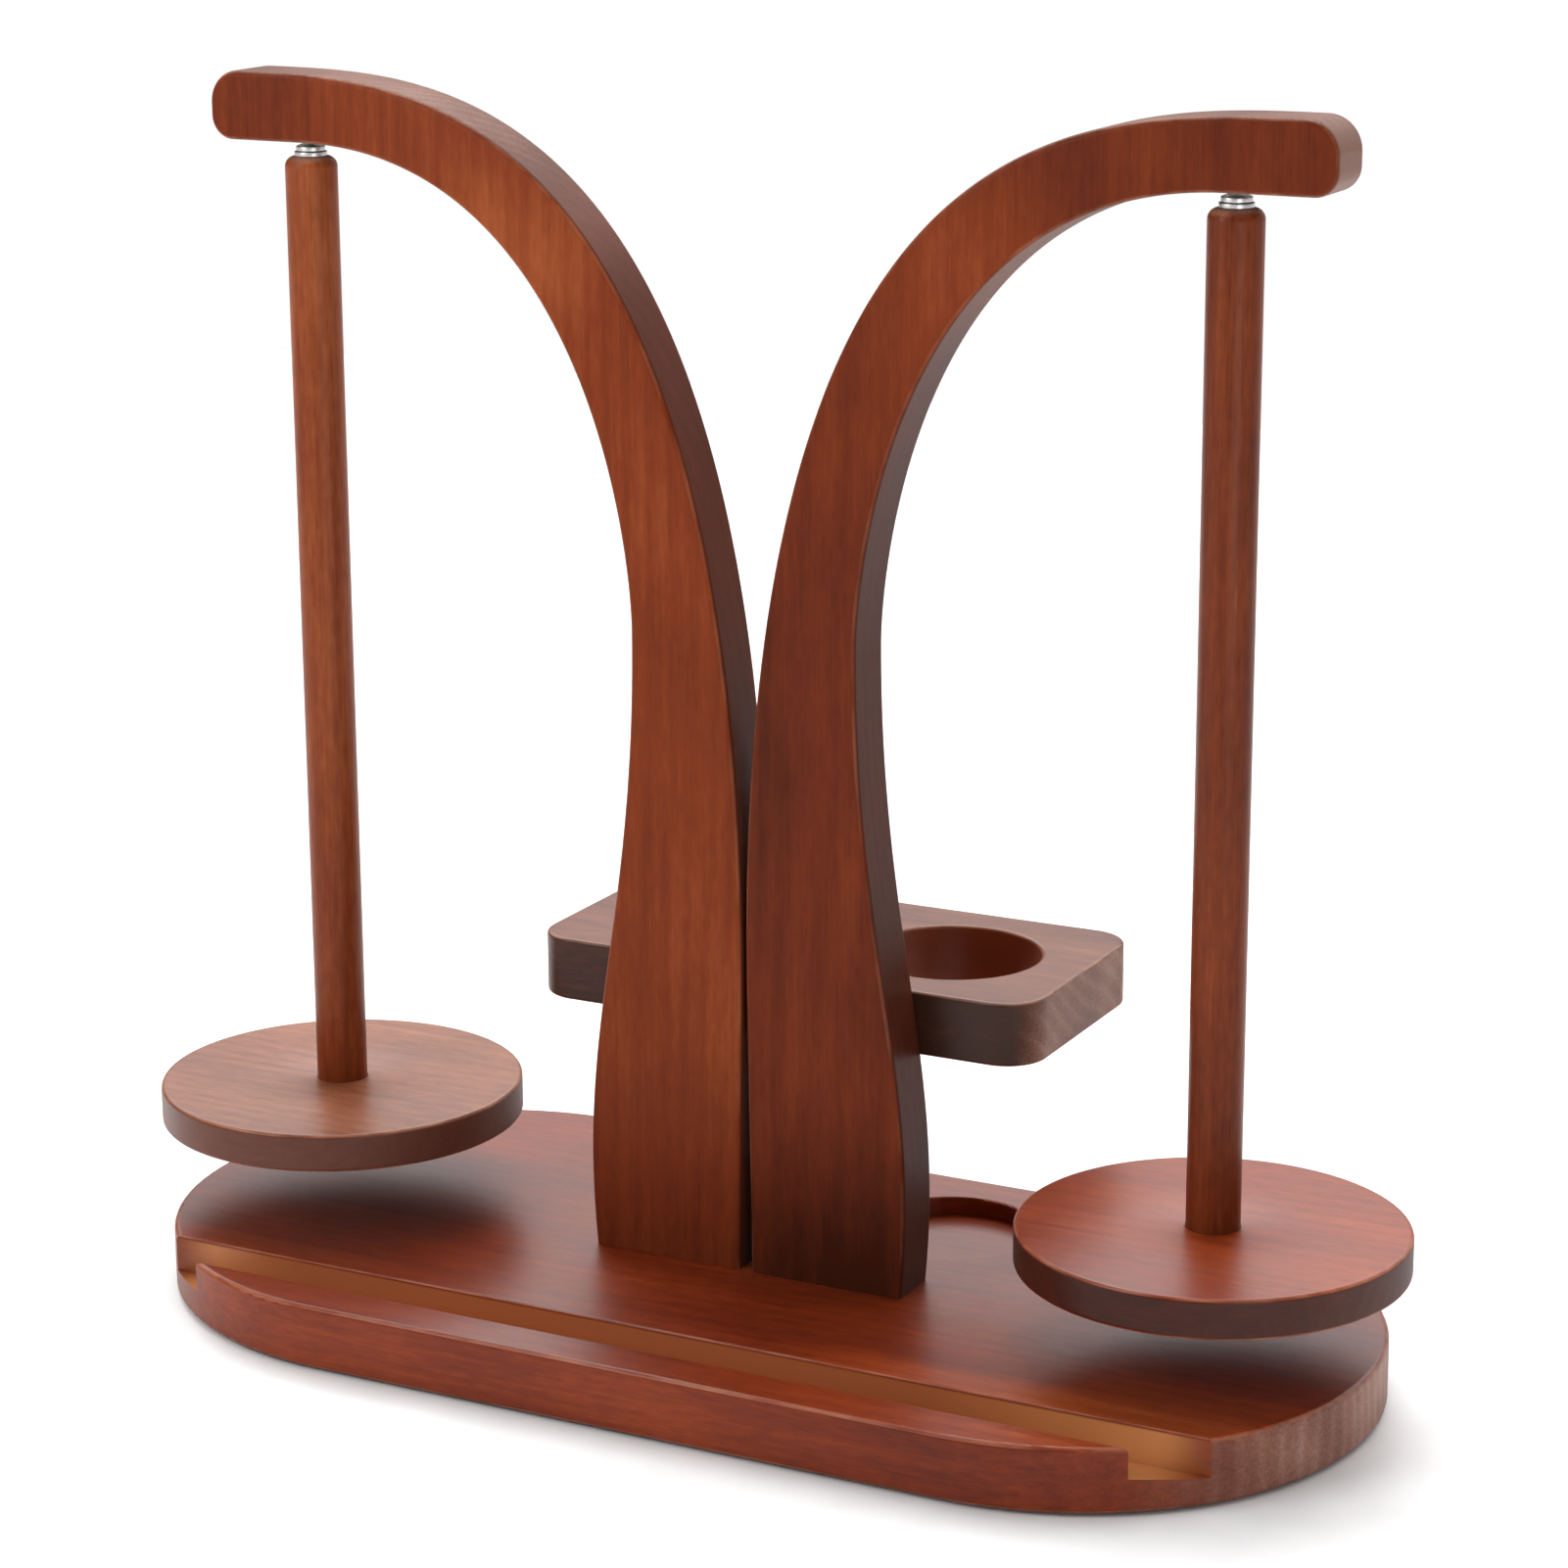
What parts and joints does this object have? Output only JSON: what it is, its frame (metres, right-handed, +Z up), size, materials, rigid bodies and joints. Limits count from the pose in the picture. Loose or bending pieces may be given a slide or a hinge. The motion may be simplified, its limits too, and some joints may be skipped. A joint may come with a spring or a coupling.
{
  "type": "thread rack",
  "caption": "Wooden yarn and thread rack: curved arms on a slotted base, each with a magnet-hung turning spindle and disc, and a shelf with round holes behind.",
  "frame": {"origin": "on the table, under the middle of the base", "axes": "+X to the right along the base, +Y to the back where the shelf is, +Z up; the slot is at the front, -Y"},
  "size_m": [0.377, 0.171, 0.344],
  "materials": {
    "board_wood": "reddish-brown stain under satin lacquer, grain along the boards",
    "arm_wood": "reddish-brown stain under satin lacquer",
    "dowel_wood": "bare beech, fluted",
    "bright_steel": "bright turned steel",
    "magnet_nickel": "nickel plate",
    "screw_steel": "zinc-plated steel",
    "pad_rubber": "matt black rubber"
  },
  "bodies": {
    "stand": {"base_board": "board_wood", "left_arm": "arm_wood", "right_arm": "arm_wood", "cup_shelf": "arm_wood", "foot_pads": "pad_rubber", "arm_screws": "screw_steel", "arm_dowels": "dowel_wood", "shelf_dowels": "dowel_wood", "left_magnet_cup": "bright_steel", "left_magnet": "magnet_nickel", "left_magnet_screw": "screw_steel", "right_magnet_cup": "bright_steel", "right_magnet": "magnet_nickel", "right_magnet_screw": "screw_steel"},
    "left_ball": {"left_pivot_ball": "bright_steel"},
    "left_swivel": {"left_swivel_stud": "bright_steel"},
    "left_spindle": {"left_rod_sleeve": "bright_steel", "left_spindle_rod": "arm_wood", "left_yarn_disc": "board_wood", "left_disc_screw": "screw_steel"},
    "right_ball": {"right_pivot_ball": "bright_steel"},
    "right_swivel": {"right_swivel_stud": "bright_steel"},
    "right_spindle": {"right_rod_sleeve": "bright_steel", "right_spindle_rod": "arm_wood", "right_yarn_disc": "board_wood", "right_disc_screw": "screw_steel"}
  },
  "joints": [
    {"name": "left_pull_off", "type": "slide", "parent": "stand", "child": "left_ball", "axis": [0, 0, -1], "range_m": [0, 0.016], "stiffness_N_per_m": 150, "springref_m": -0.025},
    {"name": "left_swing", "type": "hinge", "parent": "left_ball", "child": "left_swivel", "pos_m": [-0.136, -0.0025, 0.3241], "axis": [1, 0, 0], "range_deg": [-12, 12]},
    {"name": "left_spin", "type": "hinge", "parent": "left_swivel", "child": "left_spindle", "pos_m": [-0.136, -0.0025, 0.3], "axis": [0, 0, 1], "continuous": true},
    {"name": "right_pull_off", "type": "slide", "parent": "stand", "child": "right_ball", "axis": [0, 0, -1], "range_m": [0, 0.016], "stiffness_N_per_m": 150, "springref_m": -0.025},
    {"name": "right_swing", "type": "hinge", "parent": "right_ball", "child": "right_swivel", "pos_m": [0.136, -0.0025, 0.3241], "axis": [1, 0, 0], "range_deg": [-12, 12]},
    {"name": "right_spin", "type": "hinge", "parent": "right_swivel", "child": "right_spindle", "pos_m": [0.136, -0.0025, 0.3], "axis": [0, 0, 1], "continuous": true}
  ]
}
